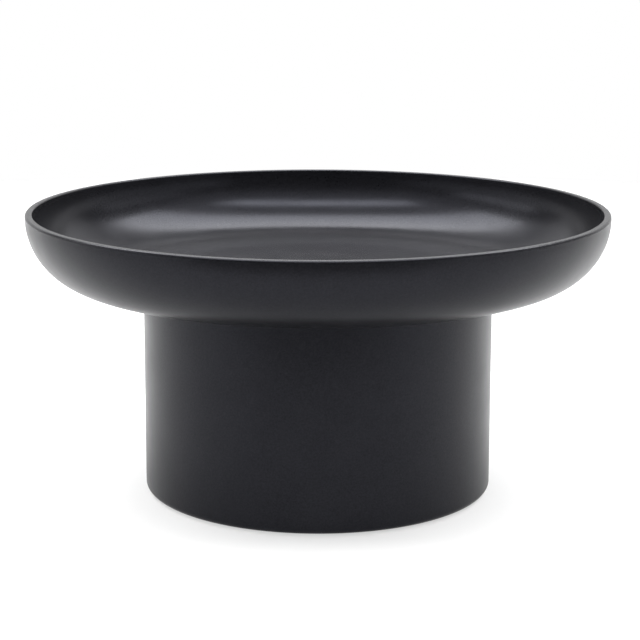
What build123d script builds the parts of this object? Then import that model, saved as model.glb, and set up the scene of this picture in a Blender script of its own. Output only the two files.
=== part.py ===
from build123d import *
from math import radians, tan
import os

os.makedirs("parts", exist_ok=True)

# A pedestal bowl moulded in black plastic: a wide shallow bowl with a rounded side, screwed from
# below onto a drum-shaped pedestal that a base plate with four rubber feet closes.
# Millimetres. The feet stand on z = 0, and the axis of the bowl and the drum is the Z axis.

# ---- driving dimensions: overall form ----
bowl_radius = 165.0  # outside of the rim
body_height = 161.0  # from the drum's lower edge to the top of the rim
rim_band = 2.0  # upright edge of the bowl above its rounded side
side_radius = 39.0  # outer quarter round from the rim band down to the flat underside
bowl_wall = 4.0
drum_radius = 100.0  # outside of the drum at its lower edge
drum_draft = 0.15  # degrees, so that the drum leaves its mould
drum_wall = 4.0
foot_lift = 1.0  # how far the feet hold the drum off the table

# ---- edges ----
rim_outer_edge = min(1.3, 0.4 * bowl_wall)
rim_inner_edge = min(0.8, 0.3 * bowl_wall)
drum_foot_edge = min(3.0, 0.75 * drum_wall)
drum_top_edge = 0.4

# ---- joint between the bowl and the drum ----
socket_depth = 10.0  # from the drum's top edge down to its deck
spigot_depth = 6.0  # locating ring under the bowl
spigot_wall = 3.0
spigot_clearance = 0.25
bowl_rib_depth = 5.0
bowl_hub_radius = 30.0  # ring that the bowl's ribs start from
bowl_boss_radius = 4.5
bowl_boss_gap = 0.3  # the bosses stop just short of the deck, so the outer joint closes first
bowl_boss_floor = 1.5  # solid left between a pilot hole and the bowl's underside
bowl_screw_count = 6
bowl_screw_inset = 22.0  # from the socket's wall in to the screw circle

# ---- drum inside ----
deck_thickness = 3.0
deck_opening_radius = 36.0
collar_depth = 8.0  # rim turned down around the deck's opening
collar_wall = 2.5
deck_rib_depth = 8.0
stiffener_width = 7.0  # upright ribs on the drum's inner wall
rib_thickness = 1.8
rib_count = 12
post_radius = 4.5
post_inset = 9.0  # from the drum's inner wall in to the post circle
post_count = 4
post_pilot_depth = 14.0

# ---- base plate and feet ----
plate_inset = 1.0  # how far the plate lies above the drum's lower edge
plate_thickness = 3.0
plate_clearance = 0.35
plate_rib_height = 4.0
plate_ring_clearance = 3.0  # between the plate's outer ring and the posts
plate_edge = 0.5
foot_count = 4
foot_radius = 8.0
foot_inset = 12.0  # from the plate's edge in to the centre of a foot
foot_pocket_depth = 1.0
foot_pocket_clearance = 0.3
foot_edge = 0.6

# ---- screws ----
thread_clearance = 0.1  # between a shank and the hole that it cuts its thread in
hole_clearance = 0.3  # between a shank and the hole that it passes through
bowl_shank_radius = 1.75
bowl_head_radius = 3.8
bowl_head_height = 2.4
bowl_screw_length = 10.0
base_shank_radius = 1.75
base_head_radius = 3.4
base_head_land = 0.25  # straight edge below the cone of the head
base_screw_length = 13.0
countersink_clearance = 0.1
recess_depth = 1.2
recess_width = 0.9

# ---- heights that follow ----
drum_bottom_z = foot_lift
rim_z = drum_bottom_z + body_height
side_centre_z = rim_z - rim_band
underside_z = side_centre_z - side_radius
floor_z = underside_z + bowl_wall
deck_top_z = underside_z - socket_depth
deck_bottom_z = deck_top_z - deck_thickness
plate_bottom_z = drum_bottom_z + plate_inset
plate_top_z = plate_bottom_z + plate_thickness
boss_end_z = deck_top_z + bowl_boss_gap
base_head_height = base_head_radius - base_shank_radius + base_head_land  # a 90 degree head


def drum_radius_at(z):
    """Outer radius of the drum at a height, with its draft."""
    return drum_radius - (z - drum_bottom_z) * tan(radians(drum_draft))


# ---- radii that follow ----
flat_radius = bowl_radius - side_radius
drum_top_radius = drum_radius_at(underside_z)
socket_radius = drum_top_radius - drum_wall
hollow_top_radius = drum_radius_at(deck_bottom_z) - drum_wall
hollow_foot_radius = drum_radius - drum_wall
spigot_radius = socket_radius - spigot_clearance
bowl_screw_circle = socket_radius - bowl_screw_inset
post_circle = hollow_top_radius - post_inset
plate_radius = hollow_foot_radius - plate_clearance
plate_ring_radius = post_circle - post_radius - plate_ring_clearance
foot_circle = plate_radius - foot_inset
rib_start_angle = 180.0 / rib_count
post_start_angle = 180.0 / post_count


def radial_ribs(inner_radius, outer_radius, count, start_angle=0.0):
    """Rectangles of one rib thickness in the current sketch, each lying along a radius."""
    with PolarLocations((inner_radius + outer_radius) / 2, count, start_angle=start_angle):
        Rectangle(outer_radius - inner_radius, rib_thickness)


def ring(outer_radius, wall):
    """A flat ring in the current sketch."""
    Circle(outer_radius)
    Circle(outer_radius - wall, mode=Mode.SUBTRACT)


def screw(head_radius, head_height, head_land, shank_radius, length):
    """A blunt screw that stands head down, its seat ending on z = 0, with a cross recess below."""
    with BuildPart() as one_screw:
        with BuildSketch(Plane.XZ):
            with BuildLine():
                Polyline(
                    (0, -head_height),
                    (head_radius, -head_height),
                    (head_radius, head_land - head_height),
                    (shank_radius, 0),
                    (shank_radius, length),
                    (0, length),
                    close=True,
                )
            make_face()
        revolve(axis=Axis.Z)
        with BuildSketch(Plane.XY.offset(-head_height)):
            Rectangle(1.1 * head_radius, recess_width)
            Rectangle(recess_width, 1.1 * head_radius)
        extrude(amount=recess_depth, mode=Mode.SUBTRACT)
    return one_screw.part


# ---- the bowl ----
with BuildPart() as tray_bowl:
    with BuildSketch(Plane.XZ) as bowl_section:
        with BuildLine():
            underside = Line((0, underside_z), (flat_radius, underside_z))
            outer_side = CenterArc((flat_radius, side_centre_z), side_radius, -90, 90)
            rim = Polyline(
                outer_side @ 1,
                (bowl_radius, rim_z),
                (bowl_radius - bowl_wall, rim_z),
                (bowl_radius - bowl_wall, side_centre_z),
            )
            inner_side = CenterArc((flat_radius, side_centre_z), side_radius - bowl_wall, 0, -90)
            floor = Line(inner_side @ 1, (0, floor_z))
            Line(floor @ 1, underside @ 0)
        make_face()
        rim_corners = bowl_section.vertices().group_by(Axis.Y)[-1].sort_by(Axis.X)
        fillet(rim_corners[-1], rim_outer_edge)
        fillet(rim_corners[0], rim_inner_edge)
    revolve(axis=Axis.Z)
    with BuildSketch(Plane.XY.offset(underside_z)):
        ring(spigot_radius, spigot_wall)
    extrude(amount=-spigot_depth)
    with BuildSketch(Plane.XY.offset(underside_z)):
        ring(bowl_hub_radius, rib_thickness)
    extrude(amount=-bowl_rib_depth)
    with BuildSketch(Plane.XY.offset(underside_z)):
        radial_ribs(bowl_hub_radius - rib_thickness / 2, spigot_radius - spigot_wall / 2, rib_count)
    extrude(amount=-bowl_rib_depth)
    with BuildSketch(Plane.XY.offset(underside_z)):
        with PolarLocations(bowl_screw_circle, bowl_screw_count):
            Circle(bowl_boss_radius)
    extrude(amount=boss_end_z - underside_z)
    with BuildSketch(Plane.XY.offset(boss_end_z)):
        with PolarLocations(bowl_screw_circle, bowl_screw_count):
            Circle(bowl_shank_radius + thread_clearance)
    extrude(amount=underside_z - bowl_boss_floor - boss_end_z, mode=Mode.SUBTRACT)
tray_bowl.part.label = "tray_bowl"
export_step(tray_bowl.part, "parts/tray_bowl.step")

# ---- the drum that carries it ----
with BuildPart() as pedestal_drum:
    with BuildSketch(Plane.XZ) as drum_section:
        with BuildLine():
            Polyline(
                (drum_radius, drum_bottom_z),
                (drum_top_radius, underside_z),
                (socket_radius, underside_z),
                (socket_radius, deck_top_z),
                (deck_opening_radius, deck_top_z),
                (deck_opening_radius, deck_bottom_z - collar_depth),
                (deck_opening_radius + collar_wall, deck_bottom_z - collar_depth),
                (deck_opening_radius + collar_wall, deck_bottom_z),
                (hollow_top_radius, deck_bottom_z),
                (hollow_foot_radius, drum_bottom_z),
                close=True,
            )
        make_face()
        outer_corners = drum_section.vertices().group_by(Axis.Y)
        fillet(outer_corners[0].sort_by(Axis.X)[-1], drum_foot_edge)
        fillet(outer_corners[-1].sort_by(Axis.X)[-1], drum_top_edge)
    revolve(axis=Axis.Z)
    with BuildSketch(Plane.XY.offset(deck_bottom_z)):
        collar_middle = deck_opening_radius + collar_wall / 2
        wall_middle = hollow_top_radius + drum_wall / 2
        radial_ribs(collar_middle, wall_middle, rib_count, rib_start_angle)
    extrude(amount=-deck_rib_depth)
    with BuildSketch(Plane.XY.offset(plate_top_z)):
        radial_ribs(hollow_top_radius - stiffener_width, wall_middle, rib_count, rib_start_angle)
        with PolarLocations(post_circle, post_count, start_angle=post_start_angle):
            Circle(post_radius)
    extrude(amount=deck_bottom_z - plate_top_z)
    with BuildSketch(Plane.XY.offset(plate_top_z)):
        with PolarLocations(post_circle, post_count, start_angle=post_start_angle):
            Circle(base_shank_radius + thread_clearance)
    extrude(amount=post_pilot_depth, mode=Mode.SUBTRACT)
    with BuildSketch(Plane.XY.offset(deck_bottom_z)):
        with PolarLocations(bowl_screw_circle, bowl_screw_count):
            Circle(bowl_shank_radius + hole_clearance)
    extrude(amount=deck_thickness, mode=Mode.SUBTRACT)
pedestal_drum.part.label = "pedestal_drum"
export_step(pedestal_drum.part, "parts/pedestal_drum.step")

# ---- the plate that closes the drum from below ----
with BuildPart() as base_plate:
    with BuildSketch(Plane.XY.offset(plate_bottom_z)):
        Circle(plate_radius)
    extrude(amount=plate_thickness)
    chamfer(base_plate.edges().group_by(Axis.Z)[0], plate_edge)
    with BuildSketch(Plane.XY.offset(plate_top_z)):
        ring(plate_ring_radius, rib_thickness)
        ring(bowl_hub_radius, rib_thickness)
        radial_ribs(bowl_hub_radius - rib_thickness / 2, plate_ring_radius - rib_thickness / 2, rib_count)
    extrude(amount=plate_rib_height)
    with BuildSketch(Plane.XY.offset(plate_bottom_z)):
        with PolarLocations(foot_circle, foot_count):
            Circle(foot_radius + foot_pocket_clearance)
    extrude(amount=foot_pocket_depth, mode=Mode.SUBTRACT)
    with Locations(Plane((0, 0, plate_bottom_z), x_dir=(1, 0, 0), z_dir=(0, 0, -1))):
        with PolarLocations(post_circle, post_count, start_angle=post_start_angle):
            CounterSinkHole(
                base_shank_radius + hole_clearance,
                base_head_radius + base_head_land + countersink_clearance,
                counter_sink_angle=90,
            )
base_plate.part.label = "base_plate"
export_step(base_plate.part, "parts/base_plate.step")

# ---- rubber feet, pressed into the plate's pockets ----
for number in range(foot_count):
    with BuildPart() as foot_pad:
        with BuildSketch():
            with PolarLocations(foot_circle, 1, start_angle=number * 360 / foot_count):
                Circle(foot_radius)
        extrude(amount=plate_bottom_z + foot_pocket_depth)
        chamfer(foot_pad.edges().group_by(Axis.Z)[0], foot_edge)
    foot_pad.part.label = f"foot_pad_{number + 1}"
    export_step(foot_pad.part, f"parts/foot_pad_{number + 1}.step")

# ---- pan head screws, up through the deck into the bowl's bosses ----
bowl_screw = screw(
    bowl_head_radius, bowl_head_height, bowl_head_height, bowl_shank_radius, bowl_screw_length
)
with BuildPart() as bowl_screws:
    with Locations((0, 0, deck_bottom_z)):
        with PolarLocations(bowl_screw_circle, bowl_screw_count):
            add(bowl_screw)
bowl_screws.part.label = "bowl_screws"
export_step(bowl_screws.part, "parts/bowl_screws.step")

# ---- countersunk screws, up through the base plate into the drum's posts ----
base_screw = screw(
    base_head_radius, base_head_height, base_head_land, base_shank_radius, base_screw_length
)
with BuildPart() as base_screws:
    with Locations((0, 0, plate_bottom_z + base_head_height)):
        with PolarLocations(post_circle, post_count, start_angle=post_start_angle):
            add(base_screw)
base_screws.part.label = "base_screws"
export_step(base_screws.part, "parts/base_screws.step")
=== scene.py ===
"""The looks of a black plastic bowl on a drum-shaped pedestal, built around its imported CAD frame."""

import math

import bmesh
import bpy
from mathutils import Matrix, Vector


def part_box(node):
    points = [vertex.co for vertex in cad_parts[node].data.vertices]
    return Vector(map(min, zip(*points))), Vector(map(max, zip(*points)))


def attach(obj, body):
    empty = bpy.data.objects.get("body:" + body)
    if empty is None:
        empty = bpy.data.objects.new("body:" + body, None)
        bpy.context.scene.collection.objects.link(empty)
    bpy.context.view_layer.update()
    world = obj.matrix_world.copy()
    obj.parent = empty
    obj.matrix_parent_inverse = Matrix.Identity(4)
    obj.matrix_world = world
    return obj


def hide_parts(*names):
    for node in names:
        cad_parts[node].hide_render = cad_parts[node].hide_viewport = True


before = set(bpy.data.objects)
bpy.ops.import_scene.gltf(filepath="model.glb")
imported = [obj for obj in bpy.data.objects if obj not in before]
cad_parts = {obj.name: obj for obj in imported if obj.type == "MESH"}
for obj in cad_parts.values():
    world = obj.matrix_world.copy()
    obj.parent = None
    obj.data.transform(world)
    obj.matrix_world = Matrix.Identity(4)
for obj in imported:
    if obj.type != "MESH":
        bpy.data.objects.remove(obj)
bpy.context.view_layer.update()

MM = 0.001
TURN = 2 * math.pi
PEG_SIDES = 48  # facets of a boss, post or hole
BODY_SIDES = 320  # facets of the bowl and of the drum


# ---- helpers ----


def add(tree, kind, feeds=None, **settings):
    """Adds one node to a tree, with its settings, and feeds its inputs from sockets or plain values."""
    node = tree.nodes.new(kind)
    for name, value in settings.items():
        setattr(node, name, value)
    for place, sources in (feeds or {}).items():
        for source in sources if isinstance(sources, list) else [sources]:
            if isinstance(source, bpy.types.NodeSocket):
                tree.links.new(source, node.inputs[place])
            else:
                node.inputs[place].default_value = source
    return node


def linear(hex_colour):
    """The linear RGBA of an sRGB hex colour."""
    shares = [int(hex_colour[i : i + 2], 16) / 255 for i in (1, 3, 5)]
    return tuple(s / 12.92 if s <= 0.04045 else ((s + 0.055) / 1.055) ** 2.4 for s in shares) + (1.0,)


def start_tree(name, sizes):
    """A geometry tree with the named sizes as its inputs. Returns it and the sockets that give them."""
    tree = bpy.data.node_groups.new(name, "GeometryNodeTree")
    tree.interface.new_socket("Piece", in_out="OUTPUT", socket_type="NodeSocketGeometry")
    for size_name, size in sizes.items():
        kind = size if isinstance(size, str) else "Int" if isinstance(size, int) else "Float"
        tree.interface.new_socket(size_name, in_out="INPUT", socket_type="NodeSocket" + kind)
    return tree, add(tree, "NodeGroupInput").outputs


def end_tree(tree, piece, finish):
    """Ends a tree with real geometry in place of instances, smooth shading and its finish."""
    real = add(tree, "GeometryNodeRealizeInstances", {"Geometry": piece})
    shaded = add(tree, "GeometryNodeSetShadeSmooth", {"Geometry": real.outputs[0]})
    dressed = add(
        tree, "GeometryNodeSetMaterial", {"Geometry": shaded.outputs[0], "Material": finish}
    )
    add(tree, "NodeGroupOutput", {"Piece": dressed.outputs[0]})
    return tree


def lathe_group():
    """Turns a section about the Z axis into a closed skin, its seam and poles welded."""
    tree, given = start_tree("Lathe", {"Section": "Geometry", "Facets": 0})
    count = add(
        tree, "GeometryNodeAttributeDomainSize", {"Geometry": given["Section"]}, component="CURVE"
    ).outputs["Point Count"]
    columns = add(tree, "FunctionNodeIntegerMath", {0: given["Facets"], 1: 1}, operation="ADD")
    grid = add(
        tree, "GeometryNodeMeshGrid", {"Vertices X": columns.outputs[0], "Vertices Y": count}
    )
    index = add(tree, "GeometryNodeInputIndex").outputs[0]
    ring = add(tree, "FunctionNodeIntegerMath", {0: index, 1: count}, operation="MODULO")
    spoke = add(tree, "FunctionNodeIntegerMath", {0: index, 1: count}, operation="DIVIDE_FLOOR")
    share = add(
        tree, "ShaderNodeMath", {0: spoke.outputs[0], 1: given["Facets"]}, operation="DIVIDE"
    )
    angle = add(tree, "ShaderNodeMath", {0: share.outputs[0], 1: TURN}, operation="MULTIPLY")
    position = add(tree, "GeometryNodeInputPosition").outputs[0]
    on_section = add(
        tree,
        "GeometryNodeSampleIndex",
        {"Geometry": given["Section"], "Value": position, "Index": ring.outputs[0]},
        data_type="FLOAT_VECTOR",
    )
    around = add(
        tree,
        "ShaderNodeVectorRotate",
        {"Vector": on_section.outputs[0], "Angle": angle.outputs[0]},
        rotation_type="Z_AXIS",
    )
    skin = add(
        tree,
        "GeometryNodeSetPosition",
        {"Geometry": grid.outputs[0], "Position": around.outputs[0]},
    )
    welded = add(
        tree, "GeometryNodeMergeByDistance", {"Geometry": skin.outputs[0], "Distance": 1e-6}
    )
    add(tree, "NodeGroupOutput", {"Piece": welded.outputs[0]})
    return tree


def ring_group():
    """Repeats a feature round the Z axis, the first copy turned by the start angle."""
    tree, given = start_tree(
        "Repeat round the axis", {"Feature": "Geometry", "Count": 0, "Start angle": 0.0}
    )
    index = add(tree, "GeometryNodeInputIndex").outputs[0]
    share = add(tree, "ShaderNodeMath", {0: index, 1: given["Count"]}, operation="DIVIDE")
    angle = add(
        tree,
        "ShaderNodeMath",
        {0: share.outputs[0], 1: TURN, 2: given["Start angle"]},
        operation="MULTIPLY_ADD",
    )
    turned = add(tree, "ShaderNodeCombineXYZ", {"Z": angle.outputs[0]})
    stations = add(tree, "GeometryNodePoints", {"Count": given["Count"]})
    copies = add(
        tree,
        "GeometryNodeInstanceOnPoints",
        {
            "Points": stations.outputs[0],
            "Instance": given["Feature"],
            "Rotation": turned.outputs[0],
        },
    )
    real = add(tree, "GeometryNodeRealizeInstances", {"Geometry": copies.outputs[0]})
    add(tree, "NodeGroupOutput", {"Piece": real.outputs[0]})
    return tree


def turned(tree, facets, corners):
    """The skin that the lathe makes of an outline's corners.

    A corner is (radius, height), or (radius, height, rounding, steps) where it is round.
    """
    index = add(tree, "GeometryNodeInputIndex").outputs[0]
    tables = [
        add(tree, "GeometryNodeIndexSwitch", {"Index": index}, data_type=kind)
        for kind in ("VECTOR", "FLOAT", "INT")
    ]
    for table in tables:
        for _ in corners[2:]:
            table.index_switch_items.new()
    places, roundings, steps = tables
    for number, (radius, height, *rounded) in enumerate(corners, start=1):
        at = add(tree, "ShaderNodeCombineXYZ", {"X": radius, "Z": height}).outputs[0]
        tree.links.new(at, places.inputs[number])
        if rounded:
            tree.links.new(rounded[0], roundings.inputs[number])
            steps.inputs[number].default_value = rounded[1]
    line = add(tree, "GeometryNodeMeshLine", {"Count": len(corners)})
    curve = add(tree, "GeometryNodeMeshToCurve", {"Mesh": line.outputs[0]})
    placed = add(
        tree,
        "GeometryNodeSetPosition",
        {"Geometry": curve.outputs[0], "Position": places.outputs[0]},
    )
    section = add(
        tree,
        "GeometryNodeFilletCurve",
        {"Curve": placed.outputs[0], "Radius": roundings.outputs[0], "Count": steps.outputs[0]},
        mode="POLY",
    )
    lathe = add(
        tree, "GeometryNodeGroup", {"Section": section.outputs[0], "Facets": facets}, node_tree=LATHE
    )
    return lathe.outputs[0]


def round_the_axis(tree, feature, count, start_angle=0.0):
    """Copies of a feature all round the Z axis."""
    ring = add(
        tree,
        "GeometryNodeGroup",
        {"Feature": feature, "Count": count, "Start angle": start_angle},
        node_tree=RING,
    )
    return ring.outputs[0]


def block(tree, size, middle):
    """A block of (length, width, height) about its middle."""
    extent = add(tree, "ShaderNodeCombineXYZ", dict(zip("XYZ", size)))
    at = add(tree, "ShaderNodeCombineXYZ", dict(zip("XYZ", middle)))
    solid = add(tree, "GeometryNodeMeshCube", {"Size": extent.outputs[0]})
    return add(
        tree,
        "GeometryNodeTransform",
        {"Geometry": solid.outputs[0], "Translation": at.outputs[0]},
    ).outputs[0]


def peg(tree, radius, height, middle):
    """An upright round bar about its middle."""
    at = add(tree, "ShaderNodeCombineXYZ", dict(zip("XYZ", middle)))
    solid = add(
        tree, "GeometryNodeMeshCylinder", {"Vertices": PEG_SIDES, "Radius": radius, "Depth": height}
    )
    return add(
        tree,
        "GeometryNodeTransform",
        {"Geometry": solid.outputs[0], "Translation": at.outputs[0]},
    ).outputs[0]


def assembled(tree, solids, cutters):
    """Solids made into one, with the cutters cut out of it."""
    union = add(
        tree, "GeometryNodeMeshBoolean", {"Mesh 2": solids}, operation="UNION", solver="MANIFOLD"
    )
    return add(
        tree,
        "GeometryNodeMeshBoolean",
        {"Mesh 1": union.outputs[0], "Mesh 2": cutters},
        operation="DIFFERENCE",
        solver="MANIFOLD",
    ).outputs[0]


def make_piece(name, tree, sizes, sharp_angle=32):
    """Runs a tree once with its sizes, and keeps the plain mesh that it gives as a piece."""
    piece = bpy.data.objects.new(name, bpy.data.meshes.new(name))
    bpy.context.scene.collection.objects.link(piece)
    maker = piece.modifiers.new(name, "NODES")
    maker.node_group = tree
    for socket in tree.interface.items_tree:
        if socket.in_out == "INPUT":
            maker[socket.identifier] = sizes[socket.name]
    graph = bpy.context.evaluated_depsgraph_get()
    mesh = bpy.data.meshes.new_from_object(piece.evaluated_get(graph), depsgraph=graph)
    piece.modifiers.clear()
    piece.data = mesh
    skin = bmesh.new()
    skin.from_mesh(mesh)
    bmesh.ops.recalc_face_normals(skin, faces=skin.faces)
    for face in skin.faces:
        face.material_index = 0
    skin.to_mesh(mesh)
    skin.free()
    finish = mesh.materials[-1]
    mesh.materials.clear()
    mesh.materials.append(finish)
    mesh.set_sharp_from_angle(angle=math.radians(sharp_angle))
    return piece


LATHE = lathe_group()
RING = ring_group()


# ---- finishes ----


def start_finish(name):
    """A material with its shader and the pattern space of the piece it is on, in metres."""
    finish = bpy.data.materials.new(name)
    finish.use_nodes = True
    tree = finish.node_tree
    tree.nodes.clear()
    shader = add(tree, "ShaderNodeBsdfPrincipled")
    add(tree, "ShaderNodeOutputMaterial", {"Surface": shader.outputs[0]})
    space = add(tree, "ShaderNodeTexCoord").outputs["Object"]
    return finish, tree, shader.inputs, space


def moulded_abs(
    name, dark, light, under_roughness, top_roughness, grain, grain_height, ring_height=0.0
):
    """Black ABS from an etched mould: a satin sheen over fine speckled grain.

    The gloss drifts a little from place to place. Faces that look up can be given a sharper
    sheen than the rest, and a floor can be given slow, faint rings around its axis.
    """
    finish, tree, surface, space = start_finish(name)
    surface["IOR"].default_value = 1.5
    surface["Specular IOR Level"].default_value = 0.18  # weaker than bare ABS, matched to the object
    surface["Specular Tint"].default_value = linear("#EAEDFF")
    drift = add(tree, "ShaderNodeTexNoise", {"Vector": space, "Scale": 1 / (30 * MM), "Detail": 3.0})
    fine = add(
        tree,
        "ShaderNodeTexNoise",
        {"Vector": space, "Scale": 1 / grain, "Detail": 2.0, "Roughness": 0.6},
    )
    speckle = add(
        tree, "ShaderNodeMix", {"Factor": 0.75, "A": drift.outputs[0], "B": fine.outputs[0]}
    )
    spread = add(
        tree,
        "ShaderNodeMapRange",
        {
            "Value": speckle.outputs[0],
            "From Min": 0.28,
            "From Max": 0.72,
            "To Min": 0.0,
            "To Max": 1.0,
        },
    )
    shades = add(tree, "ShaderNodeMix", {"Factor": spread.outputs[0]}, data_type="RGBA")
    shades.inputs[6].default_value = linear(dark)
    shades.inputs[7].default_value = linear(light)
    tree.links.new(shades.outputs[2], surface["Base Color"])
    facing = add(tree, "ShaderNodeTexCoord")
    upward = add(tree, "ShaderNodeSeparateXYZ", {"Vector": facing.outputs["Normal"]})
    polish = add(
        tree,
        "ShaderNodeMapRange",
        {
            "Value": upward.outputs["Z"],
            "From Min": -0.1,
            "From Max": 0.1,
            "To Min": under_roughness,
            "To Max": top_roughness,
        },
        interpolation_type="SMOOTHSTEP",
    )
    clouds = add(tree, "ShaderNodeTexNoise", {"Vector": space, "Scale": 1 / (18 * MM), "Detail": 2.0})
    handling = add(
        tree,
        "ShaderNodeMapRange",
        {
            "Value": clouds.outputs[0],
            "From Min": 0.3,
            "From Max": 0.7,
            "To Min": -0.02,
            "To Max": 0.02,
        },
    )
    gloss = add(
        tree, "ShaderNodeMath", {0: polish.outputs[0], 1: handling.outputs[0]}, operation="ADD"
    )
    tree.links.new(gloss.outputs[0], surface["Roughness"])
    relief = add(
        tree, "ShaderNodeBump", {"Height": fine.outputs[0], "Distance": grain_height, "Strength": 1.0}
    )
    if ring_height:
        first_ring, ring_pitch = 87 * MM, 32 * MM
        fades = ((148 * MM, 132 * MM), (45 * MM, 100 * MM))  # from none to full, outside and inside
        across = add(
            tree, "ShaderNodeVectorMath", {0: space, 1: (1.0, 1.0, 0.0)}, operation="MULTIPLY"
        )
        radius = add(tree, "ShaderNodeVectorMath", {0: across.outputs[0]}, operation="LENGTH")
        phase = add(
            tree,
            "ShaderNodeMapRange",
            {
                "Value": radius.outputs["Value"],
                "From Min": first_ring,
                "From Max": first_ring + ring_pitch,
                "To Min": 0.0,
                "To Max": TURN,
            },
            clamp=False,
        )
        wave = add(tree, "ShaderNodeMath", {0: phase.outputs[0]}, operation="SINE")
        outer_fade, inner_fade = (
            add(
                tree,
                "ShaderNodeMapRange",
                {
                    "Value": radius.outputs["Value"],
                    "From Min": start,
                    "From Max": end,
                    "To Min": 0.0,
                    "To Max": 1.0,
                },
                interpolation_type="SMOOTHSTEP",
            )
            for start, end in fades
        )
        reach = add(
            tree,
            "ShaderNodeMath",
            {0: outer_fade.outputs[0], 1: inner_fade.outputs[0]},
            operation="MULTIPLY",
        )
        rings = add(
            tree, "ShaderNodeMath", {0: wave.outputs[0], 1: reach.outputs[0]}, operation="MULTIPLY"
        )
        sinks = add(
            tree,
            "ShaderNodeBump",
            {"Height": rings.outputs[0], "Distance": ring_height, "Strength": 1.0},
        )
        tree.links.new(sinks.outputs[0], relief.inputs["Normal"])
    tree.links.new(relief.outputs[0], surface["Normal"])
    return finish


# Etched grain is 0.1 to 0.2 mm wide, too fine to show: it is drawn about 1 mm wide here.
bowl_abs = moulded_abs(
    "satin_abs_of_bowl",
    dark="#09090B",
    light="#1C1C1F",
    under_roughness=0.33,
    top_roughness=0.25,
    grain=1.0 * MM,
    grain_height=0.016 * MM,
    ring_height=0.05 * MM,
)
drum_abs = moulded_abs(
    "satin_abs_of_drum",
    dark="#08080A",
    light="#1D1D20",
    under_roughness=0.33,
    top_roughness=0.33,
    grain=1.0 * MM,
    grain_height=0.016 * MM,
)
plate_abs = moulded_abs(
    "spark_textured_abs",
    dark="#0C0C0D",
    light="#212123",
    under_roughness=0.5,
    top_roughness=0.5,
    grain=0.9 * MM,
    grain_height=0.05 * MM,
)


def plain_rubber():
    """Black rubber: dull, with a dusty drift in its shade and a fine pebbled skin."""
    finish, tree, surface, space = start_finish("moulded_rubber")
    surface["IOR"].default_value = 1.52
    surface["Roughness"].default_value = 0.72
    drift = add(tree, "ShaderNodeTexNoise", {"Vector": space, "Scale": 1 / (3 * MM), "Detail": 3.0})
    shades = add(tree, "ShaderNodeMix", {"Factor": drift.outputs[0]}, data_type="RGBA")
    shades.inputs[6].default_value = linear("#161515")
    shades.inputs[7].default_value = linear("#201F1E")
    tree.links.new(shades.outputs[2], surface["Base Color"])
    pebbles = add(tree, "ShaderNodeTexVoronoi", {"Vector": space, "Scale": 1 / (0.5 * MM)})
    relief = add(
        tree, "ShaderNodeBump", {"Height": pebbles.outputs[0], "Distance": 0.02 * MM, "Strength": 0.8}
    )
    tree.links.new(relief.outputs[0], surface["Normal"])
    return finish


def zinc_plate():
    """Bright zinc on steel: a cool metal, clouded, with a little roughness from the bath."""
    finish, tree, surface, space = start_finish("zinc_plated_steel")
    surface["Metallic"].default_value = 1.0
    surface["Base Color"].default_value = linear("#C3C6CA")
    clouds = add(tree, "ShaderNodeTexNoise", {"Vector": space, "Scale": 1 / (1.5 * MM), "Detail": 3.0})
    gloss = add(
        tree, "ShaderNodeMapRange", {"Value": clouds.outputs[0], "To Min": 0.22, "To Max": 0.42}
    )
    tree.links.new(gloss.outputs[0], surface["Roughness"])
    relief = add(
        tree, "ShaderNodeBump", {"Height": clouds.outputs[0], "Distance": 0.01 * MM, "Strength": 0.5}
    )
    tree.links.new(relief.outputs[0], surface["Normal"])
    return finish


rubber = plain_rubber()
zinc = zinc_plate()


# ---- sizes that the pieces share ----

bowl_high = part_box("tray_bowl")[1]
drum_low, drum_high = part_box("pedestal_drum")
plate_low, plate_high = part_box("base_plate")
foot_low, foot_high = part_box("foot_pad_1")

ribs_around = 12
bowl_screw_count = 6
post_count = 4
foot_count = 4
post_start = TURN / (2 * post_count)

wall = 4 * MM  # of the bowl and of the drum
rim_outer_edge = 1.3 * MM
rim_inner_edge = 0.8 * MM
rim_land_inset = 0.15 * MM  # how far the rim's flat land starts inside its rounded edges
rim_band = 2 * MM  # upright edge of the bowl above its rounded side
side_rounding = 39 * MM
rib_thickness = 1.8 * MM
bite = 0.5 * MM  # how far a rib or post runs into the wall that it grows from
underside = bowl_high.z - rim_band - side_rounding
drum_foot_edge = 3 * MM
draft = math.tan(math.radians(0.15))  # the drum narrows upwards, so that it leaves its mould


def drum_radius_at(height):
    """The drum's outside radius at a height. It is widest where the round of its foot ends."""
    return drum_high.x - (height - drum_low.z - drum_foot_edge) * draft


drum_top_radius = drum_radius_at(underside)
socket_radius = drum_top_radius - wall
deck_top = underside - 10 * MM
deck_bottom = deck_top - 3 * MM
hollow_radius = drum_radius_at(deck_bottom) - wall  # inside of the drum just below its deck
hub_radius = 30 * MM
spigot_radius = socket_radius - 0.25 * MM
spigot_wall = 3 * MM
bowl_screw_circle = socket_radius - 22 * MM
post_circle = hollow_radius - 9 * MM
foot_circle = (foot_low.x + foot_high.x) / 2
plate_thickness = 3 * MM
plate_top = plate_low.z + plate_thickness
shank_radius = 1.75 * MM


def rib_span(inner_end, outer_end):
    """The sizes of a rib that runs out from one radius to another."""
    return {"Rib length": outer_end - inner_end, "Rib middle": (inner_end + outer_end) / 2}


def run_tree(name, build, sizes, finish):
    """Starts a piece's tree with its sizes and its finish, lets build fill it, and runs it."""
    kinds = dict(sizes, Finish="Material")
    tree, size = start_tree(name, kinds)
    end_tree(tree, build(tree, size), size["Finish"])
    return make_piece(name, tree, dict(sizes, Finish=finish))


# ---- the bowl: a thin turned shell, with a locating ring, ribs and screw bosses underneath ----


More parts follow.
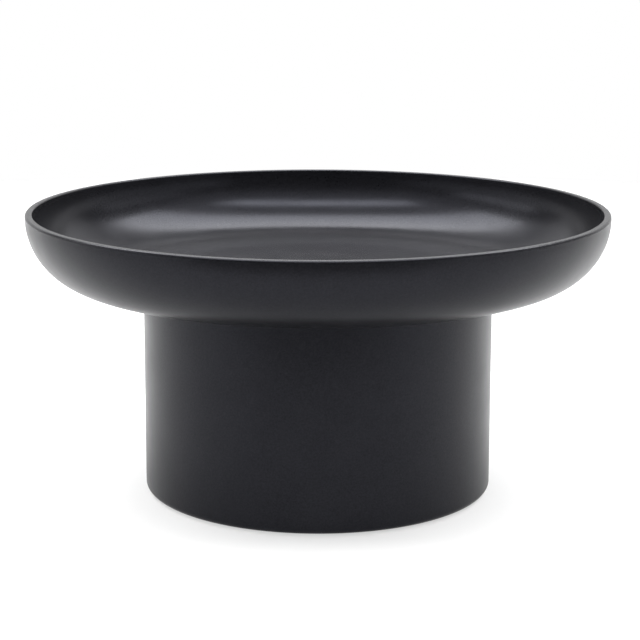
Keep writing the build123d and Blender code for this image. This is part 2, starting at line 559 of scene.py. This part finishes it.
def bowl_solid(tree, size):
    """The bowl's shell, with its hub, ribs, locating ring and screw bosses below."""
    under, ring_end = size["Underside"], size["Spigot end"]
    shell = turned(
        tree,
        size["Facets"],
        [
            (0.0, under),
            (size["Hub inside"], under),
            (size["Hub inside"], size["Rib end"]),
            (size["Hub radius"], size["Rib end"]),
            (size["Hub radius"], under),
            (size["Spigot inside"], under),
            (size["Spigot inside"], ring_end),
            (size["Spigot radius"], ring_end),
            (size["Spigot radius"], under),
            (size["Covered radius"], under),
            (size["Flat radius"], under),
            (size["Rim radius"], under, size["Side rounding"], 64),
            (size["Rim radius"], size["Rim height"], size["Outer edge"], 14),
            (size["Land outside"], size["Rim height"]),
            (size["Land inside"], size["Rim height"]),
            (size["Inside radius"], size["Rim height"], size["Inner edge"], 10),
            (size["Inside radius"], size["Floor"], size["Inner rounding"], 64),
            (size["Flat radius"], size["Floor"]),
            (0.0, size["Floor"]),
        ],
    )
    rib = block(
        tree,
        (size["Rib length"], size["Rib thickness"], size["Rib height"]),
        (size["Rib middle"], 0.0, size["Rib mid height"]),
    )
    boss = peg(
        tree,
        size["Boss radius"],
        size["Boss height"],
        (size["Screw circle"], 0.0, size["Boss mid height"]),
    )
    pilot = peg(
        tree,
        size["Pilot radius"],
        size["Pilot depth"],
        (size["Screw circle"], 0.0, size["Pilot mid height"]),
    )
    ribs = round_the_axis(tree, rib, size["Ribs"])
    bosses = round_the_axis(tree, boss, size["Bosses"])
    pilots = round_the_axis(tree, pilot, size["Bosses"])
    return assembled(tree, [shell, ribs, bosses], [pilots])


rib_depth = 5 * MM
boss_end = deck_top + 0.3 * MM
pilot_end = underside - 1.5 * MM
bowl = run_tree(
    "bowl",
    bowl_solid,
    {
        "Rim radius": bowl_high.x,
        "Rim height": bowl_high.z,
        "Inside radius": bowl_high.x - wall,
        "Underside": underside,
        "Floor": underside + wall,
        "Side rounding": side_rounding,
        "Inner rounding": side_rounding - wall,
        "Outer edge": rim_outer_edge,
        "Inner edge": rim_inner_edge,
        "Land outside": bowl_high.x - rim_outer_edge - rim_land_inset,
        "Land inside": bowl_high.x - wall + rim_inner_edge + rim_land_inset,
        "Flat radius": bowl_high.x - side_rounding - 0.6 * MM,
        "Covered radius": drum_top_radius - 1.5 * MM,
        "Hub radius": hub_radius,
        "Hub inside": hub_radius - rib_thickness,
        "Spigot radius": spigot_radius,
        "Spigot inside": spigot_radius - spigot_wall,
        "Spigot end": underside - 6 * MM,
        "Rib end": underside - rib_depth,
        "Ribs": ribs_around,
        **rib_span(hub_radius - rib_thickness / 2, spigot_radius - spigot_wall / 2),
        "Rib thickness": rib_thickness,
        "Rib height": rib_depth + bite,
        "Rib mid height": underside + (bite - rib_depth) / 2,
        "Bosses": bowl_screw_count,
        "Screw circle": bowl_screw_circle,
        "Boss radius": 4.5 * MM,
        "Boss height": underside + bite - boss_end,
        "Boss mid height": (underside + bite + boss_end) / 2,
        "Pilot radius": shank_radius + 0.1 * MM,
        "Pilot depth": pilot_end - boss_end + bite,
        "Pilot mid height": (pilot_end + boss_end - bite) / 2,
        "Facets": BODY_SIDES,
    },
    bowl_abs,
)
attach(bowl, "root")
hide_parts("tray_bowl")


# ---- the drum: a turned wall with a ribbed deck across its top, and posts for the plate ----


def drum_solid(tree, size):
    """The drum's wall and deck, with the collar, ribs, stiffeners and posts inside."""
    shell = turned(
        tree,
        size["Facets"],
        [
            (size["Opening radius"], size["Deck top"]),
            (size["Opening radius"], size["Collar end"]),
            (size["Collar radius"], size["Collar end"]),
            (size["Collar radius"], size["Deck bottom"]),
            (size["Hollow radius"], size["Deck bottom"]),
            (size["Foot inside"], size["Foot height"]),
            (size["Foot radius"], size["Foot height"], size["Foot edge"], 16),
            (size["Wall start radius"], size["Wall start height"]),
            (size["Wall end radius"], size["Wall end height"]),
            (size["Top radius"], size["Top height"], size["Top edge"], 6),
            (size["Socket radius"], size["Top height"]),
            (size["Socket radius"], size["Deck top"]),
            (size["Opening radius"], size["Deck top"]),
        ],
    )
    rib = block(
        tree,
        (size["Rib length"], size["Rib thickness"], size["Rib height"]),
        (size["Rib middle"], 0.0, size["Rib mid height"]),
    )
    stiffener = block(
        tree,
        (size["Stiffener width"], size["Rib thickness"], size["Post height"]),
        (size["Stiffener middle"], 0.0, size["Post mid height"]),
    )
    post = peg(
        tree,
        size["Post radius"],
        size["Post height"],
        (size["Post circle"], 0.0, size["Post mid height"]),
    )
    pilot = peg(
        tree,
        size["Pilot radius"],
        size["Pilot depth"],
        (size["Post circle"], 0.0, size["Pilot mid height"]),
    )
    hole = peg(
        tree, size["Hole radius"], size["Hole depth"], (size["Screw circle"], 0.0, size["Deck top"])
    )
    ribs, stiffeners = (
        round_the_axis(tree, feature, size["Ribs"], size["Rib start"]) for feature in (rib, stiffener)
    )
    posts, pilots = (
        round_the_axis(tree, feature, size["Posts"], size["Post start"]) for feature in (post, pilot)
    )
    holes = round_the_axis(tree, hole, size["Deck holes"])
    return assembled(tree, [shell, ribs, stiffeners, posts], [pilots, holes])


opening_radius = 36 * MM
collar_wall = 2.5 * MM
deck_rib_depth = 8 * MM
stiffener_width = 7 * MM
post_pilot_end = plate_top + 14 * MM
wall_start = drum_low.z + 4 * MM
wall_start_inset = 0.01 * MM  # how far the wall's first corner lies inside the widest radius
wall_end = drum_high.z - 1 * MM
drum = run_tree(
    "drum",
    drum_solid,
    {
        "Foot radius": drum_high.x,
        "Foot height": drum_low.z,
        "Foot inside": drum_high.x - wall,
        "Foot edge": drum_foot_edge,
        "Wall start radius": drum_high.x - wall_start_inset,
        "Wall start height": wall_start,
        "Wall end radius": drum_radius_at(wall_end),
        "Wall end height": wall_end,
        "Top radius": drum_top_radius,
        "Top height": drum_high.z,
        "Top edge": 0.4 * MM,
        "Socket radius": socket_radius,
        "Deck top": deck_top,
        "Deck bottom": deck_bottom,
        "Hollow radius": hollow_radius,
        "Opening radius": opening_radius,
        "Collar radius": opening_radius + collar_wall,
        "Collar end": deck_bottom - deck_rib_depth,
        "Ribs": ribs_around,
        "Rib start": TURN / (2 * ribs_around),
        **rib_span(opening_radius + collar_wall / 2, hollow_radius + wall / 2),
        "Rib thickness": rib_thickness,
        "Rib height": deck_rib_depth + bite,
        "Rib mid height": deck_bottom + (bite - deck_rib_depth) / 2,
        "Stiffener width": stiffener_width + wall / 2,
        "Stiffener middle": hollow_radius + (wall / 2 - stiffener_width) / 2,
        "Posts": post_count,
        "Post start": post_start,
        "Post circle": post_circle,
        "Post radius": 4.5 * MM,
        "Post height": deck_bottom + bite - plate_top,
        "Post mid height": (deck_bottom + bite + plate_top) / 2,
        "Pilot radius": shank_radius + 0.1 * MM,
        "Pilot depth": post_pilot_end - plate_top + bite,
        "Pilot mid height": (post_pilot_end + plate_top - bite) / 2,
        "Deck holes": bowl_screw_count,
        "Screw circle": bowl_screw_circle,
        "Hole radius": shank_radius + 0.3 * MM,
        "Hole depth": 12 * MM,
        "Facets": BODY_SIDES,
    },
    drum_abs,
)
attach(drum, "root")
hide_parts("pedestal_drum")


# ---- the plate that closes the drum from below ----


def plate_solid(tree, size):
    """The plate with its ribs, foot pockets and countersunk holes."""
    disc = turned(
        tree,
        size["Facets"],
        [
            (0.0, size["Bottom"]),
            (size["Bevel radius"], size["Bottom"]),
            (size["Plate radius"], size["Bevel height"]),
            (size["Plate radius"], size["Top"]),
            (size["Ring radius"], size["Top"]),
            (size["Ring radius"], size["Rib top"]),
            (size["Ring inside"], size["Rib top"]),
            (size["Ring inside"], size["Top"]),
            (size["Hub radius"], size["Top"]),
            (size["Hub radius"], size["Rib top"]),
            (size["Hub inside"], size["Rib top"]),
            (size["Hub inside"], size["Top"]),
            (0.0, size["Top"]),
        ],
    )
    rib = block(
        tree,
        (size["Rib length"], size["Rib thickness"], size["Rib height"]),
        (size["Rib middle"], 0.0, size["Rib mid height"]),
    )
    pocket = peg(
        tree, size["Pocket radius"], size["Pocket depth"], (size["Foot circle"], 0.0, size["Bottom"])
    )
    sink = turned(
        tree,
        PEG_SIDES,
        [
            (0.0, size["Sink start"]),
            (size["Sink radius"], size["Sink start"]),
            (size["Hole radius"], size["Sink end"]),
            (size["Hole radius"], size["Rib top"]),
            (0.0, size["Rib top"]),
        ],
    )
    along = add(tree, "ShaderNodeCombineXYZ", {"X": size["Post circle"]}).outputs[0]
    sink = add(tree, "GeometryNodeTransform", {"Geometry": sink, "Translation": along}).outputs[0]
    ribs = round_the_axis(tree, rib, size["Ribs"])
    pockets = round_the_axis(tree, pocket, size["Feet"])
    sinks = round_the_axis(tree, sink, size["Posts"], size["Post start"])
    return assembled(tree, [disc, ribs], [pockets, sinks])


plate_bevel = 0.5 * MM
plate_ring = post_circle - 7.5 * MM
sink_radius = 3.75 * MM
sink_lead = 0.2 * MM  # how far the countersink's cone starts below the plate
plate_hole = shank_radius + 0.3 * MM
plate = run_tree(
    "base_plate_moulding",
    plate_solid,
    {
        "Plate radius": plate_high.x,
        "Bottom": plate_low.z,
        "Bevel radius": plate_high.x - plate_bevel,
        "Bevel height": plate_low.z + plate_bevel,
        "Top": plate_top,
        "Rib top": plate_high.z,
        "Ring radius": plate_ring,
        "Ring inside": plate_ring - rib_thickness,
        "Hub radius": hub_radius,
        "Hub inside": hub_radius - rib_thickness,
        "Ribs": ribs_around,
        **rib_span(hub_radius - rib_thickness / 2, plate_ring - rib_thickness / 2),
        "Rib thickness": rib_thickness,
        "Rib height": plate_high.z - plate_top + bite,
        "Rib mid height": (plate_high.z + plate_top - bite) / 2,
        "Feet": foot_count,
        "Foot circle": foot_circle,
        "Pocket radius": (foot_high.x - foot_low.x) / 2 + 0.3 * MM,
        "Pocket depth": 2 * MM,
        "Posts": post_count,
        "Post start": post_start,
        "Post circle": post_circle,
        "Sink start": plate_low.z - sink_lead,
        "Sink radius": sink_radius + sink_lead,
        "Sink end": plate_low.z + sink_radius - plate_hole,
        "Hole radius": plate_hole,
        "Facets": 256,
    },
    plate_abs,
)
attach(plate, "root")
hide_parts("base_plate")


# ---- four rubber feet ----


def feet_solid(tree, size):
    """A round pad with a rounded lower edge, one for each pocket."""
    foot = turned(
        tree,
        size["Facets"],
        [
            (0.0, size["Bottom"]),
            (size["Foot radius"], size["Bottom"], size["Foot edge"], 8),
            (size["Foot radius"], size["Top"]),
            (0.0, size["Top"]),
        ],
    )
    along = add(tree, "ShaderNodeCombineXYZ", {"X": size["Foot circle"]}).outputs[0]
    foot = add(tree, "GeometryNodeTransform", {"Geometry": foot, "Translation": along}).outputs[0]
    return round_the_axis(tree, foot, size["Feet"])


feet = run_tree(
    "rubber_feet",
    feet_solid,
    {
        "Foot radius": (foot_high.x - foot_low.x) / 2,
        "Bottom": max(foot_low.z, 0.0),
        "Top": foot_high.z,
        "Foot edge": 0.6 * MM,
        "Foot circle": foot_circle,
        "Feet": foot_count,
        "Facets": 96,
    },
    rubber,
)
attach(feet, "root")
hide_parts("foot_pad_1", "foot_pad_2", "foot_pad_3", "foot_pad_4")


# ---- self-tapping screws: six under the bowl, four through the plate ----


def screws_solid(tree, size):
    """Screws that stand head down on a circle, with a cross recess below and a plain thread."""
    blank = turned(
        tree,
        PEG_SIDES,
        [
            (0.0, size["Head bottom"]),
            (size["Head radius"], size["Head bottom"], size["Head edge"], 6),
            (size["Head radius"], size["Head land"]),
            (size["Core radius"], size["Seat"]),
            (size["Core radius"], size["Tip"]),
            (0.0, size["Tip"]),
        ],
    )
    slots = [
        block(tree, slot, (0.0, 0.0, size["Head bottom"]))
        for slot in (
            (size["Recess length"], size["Recess width"], size["Recess depth"]),
            (size["Recess width"], size["Recess length"], size["Recess depth"]),
        )
    ]
    helix = add(
        tree,
        "GeometryNodeCurveSpiral",
        {
            "Resolution": 24,
            "Rotations": size["Thread turns"],
            "Start Radius": size["Core radius"],
            "End Radius": size["Core radius"],
            "Height": size["Thread length"],
        },
    )
    ridge = add(
        tree, "GeometryNodeCurvePrimitiveCircle", {"Resolution": 4, "Radius": size["Thread height"]}
    )
    thread = add(
        tree,
        "GeometryNodeCurveToMesh",
        {"Curve": helix.outputs[0], "Profile Curve": ridge.outputs[0], "Fill Caps": True},
    )
    start = add(tree, "ShaderNodeCombineXYZ", {"Z": size["Thread start"]}).outputs[0]
    thread = add(
        tree, "GeometryNodeTransform", {"Geometry": thread.outputs[0], "Translation": start}
    )
    screw = assembled(tree, [blank, thread.outputs[0]], slots)
    along = add(tree, "ShaderNodeCombineXYZ", {"X": size["Circle"]}).outputs[0]
    screw = add(tree, "GeometryNodeTransform", {"Geometry": screw, "Translation": along})
    return round_the_axis(tree, screw.outputs[0], size["Screws"], size["Start angle"])


def screws(name, box, circle, count, start, head_radius, head_height, head_land, head_edge):
    """A ring of screws, head down, between the lowest and highest corners of their CAD node."""
    low, high = box
    pitch = 1.4 * MM
    crest = 0.42 * MM
    seat = low.z + head_height
    thread_start = seat + 1.0 * MM
    thread_end = high.z - crest
    return run_tree(
        name,
        screws_solid,
        {
            "Head bottom": low.z,
            "Head radius": head_radius,
            "Head edge": head_edge,
            "Head land": low.z + head_land,
            "Seat": seat,
            "Core radius": shank_radius - crest,
            "Tip": high.z,
            "Recess length": 1.1 * head_radius,
            "Recess width": 0.9 * MM,
            "Recess depth": 2.4 * MM,
            "Thread turns": (thread_end - thread_start) / pitch,
            "Thread length": thread_end - thread_start,
            "Thread height": crest,
            "Thread start": thread_start,
            "Circle": circle,
            "Screws": count,
            "Start angle": start,
        },
        zinc,
    )


pan_screws = screws(
    "pan_head_screws",
    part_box("bowl_screws"),
    bowl_screw_circle,
    bowl_screw_count,
    0.0,
    head_radius=3.8 * MM,
    head_height=2.4 * MM,
    head_land=2.4 * MM,
    head_edge=1.0 * MM,
)
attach(pan_screws, "root")
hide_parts("bowl_screws")

sunk_screws = screws(
    "countersunk_screws",
    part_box("base_screws"),
    post_circle,
    post_count,
    post_start,
    head_radius=3.4 * MM,
    head_height=1.9 * MM,
    head_land=0.25 * MM,
    head_edge=0.1 * MM,
)
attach(sunk_screws, "root")
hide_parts("base_screws")


# ---- the studio: floor, sky, lights and camera ----

DOWN = (0, 0, -1)


def matt(name, colour, glow=0.0):
    """Matt paper or felt: no shine of its own, so that the eye sees only its even shade."""
    finish, _, surface, _ = start_finish(name)
    surface["Base Color"].default_value = linear(colour)
    surface["Roughness"].default_value = 0.9
    surface["Specular IOR Level"].default_value = 0.0
    surface["Emission Color"].default_value = linear("#FFFFFF")
    surface["Emission Strength"].default_value = glow
    return finish


def studio_sheet(name, corners, finish):
    """A flat sheet of the studio, which isn't part of the object."""
    mesh = bpy.data.meshes.new(name)
    mesh.from_pydata(corners, [], [range(len(corners))])
    mesh.materials.append(finish)
    sheet = bpy.data.objects.new(name, mesh)
    bpy.context.scene.collection.objects.link(sheet)
    return sheet


# A round pale table, lit a little from within, so that it is white up to its edge.
table_radius = 1.3
table_sides = 128
angles = [TURN * side / table_sides for side in range(table_sides)]
edge = [(table_radius * math.cos(angle), table_radius * math.sin(angle), 0) for angle in angles]
studio_sheet("floor", edge, matt("matt_white_paper", "#B0B0B0", glow=0.56))

# A black card in front of the object, seen only in its sheen, as a dark band under the rim.
card_half_width, card_place, card_low, card_high = 0.5, -0.51, 0.001, 0.4
card = studio_sheet(
    "black_card",
    [
        (-card_half_width, card_place, card_low),
        (card_half_width, card_place, card_low),
        (card_half_width, card_place, card_high),
        (-card_half_width, card_place, card_high),
    ],
    matt("black_felt", "#272727"),
)
card.visible_camera = False
card.visible_diffuse = False
card.visible_shadow = False

# A sky that is bright near the horizon and nearly dark above it.
world = bpy.data.worlds.new("studio")
bpy.context.scene.world = world
world.use_nodes = True
sky_tree = world.node_tree
sky_tree.nodes.clear()
way = add(sky_tree, "ShaderNodeTexCoord").outputs["Generated"]
parts = add(sky_tree, "ShaderNodeSeparateXYZ", {"Vector": way})
fade = add(
    sky_tree,
    "ShaderNodeMapRange",
    {
        "Value": parts.outputs["Z"],
        "From Min": math.sin(math.radians(10)),
        "From Max": math.sin(math.radians(15)),
        "To Min": 1.0,
        "To Max": 0.05,
    },
    interpolation_type="SMOOTHSTEP",
)
glow = add(
    sky_tree, "ShaderNodeBackground", {"Color": linear("#FFFFFF"), "Strength": fade.outputs[0]}
)
add(sky_tree, "ShaderNodeOutputWorld", {"Surface": glow.outputs[0]})


def softbox(name, brightness, centre, width, depth, facing):
    """A soft panel light of even brightness."""
    light = bpy.data.lights.new(name, "AREA")
    light.shape = "RECTANGLE"
    light.size = width
    light.size_y = depth
    light.energy = brightness * math.pi * width * depth
    panel = bpy.data.objects.new(name, light)
    bpy.context.scene.collection.objects.link(panel)
    panel.location = centre
    panel.rotation_euler = Vector(facing).to_track_quat("-Z", "Y").to_euler()
    panel.visible_camera = False


softbox("tent_top", 1.0, (0, -0.2, 1.1), 3.0, 2.6, DOWN)
softbox("overhead_softbox", 10.0, (0, 0.4, 1.05), 2.0, 0.6, DOWN)
softbox("front_softbox", 14.0, (0, -0.4, 1.0), 1.2, 0.2, DOWN)
softbox("left_panel", 3.0, (-1.8, 0, 0.85), 1.5, 0.4, (1, 0, 0))
softbox("right_panel", 1.5, (1.8, 0, 0.85), 1.5, 0.4, (-1, 0, 0))
softbox("back_panel", 1.5, (0, 1.4, 0.9), 3.0, 0.6, (0, -1, 0))

camera_data = bpy.data.cameras.new("camera")
camera_data.lens = 103.03
camera_data.sensor_width = 36
camera_data.clip_end = 100
camera = bpy.data.objects.new("camera", camera_data)
bpy.context.scene.collection.objects.link(camera)
# It looks 12.4 degrees down, and is swung and rolled by about a tenth of a degree.
look_down = Matrix.Rotation(math.radians(90 - 12.383), 4, "X")
swing = Matrix.Rotation(math.radians(-0.064), 4, "Y")
roll = Matrix.Rotation(math.radians(0.124), 4, "Z")
camera.matrix_world = Matrix.Translation((0, -1.031, 0.3232)) @ look_down @ swing @ roll
bpy.context.scene.camera = camera
bpy.context.scene.view_settings.view_transform = "Standard"
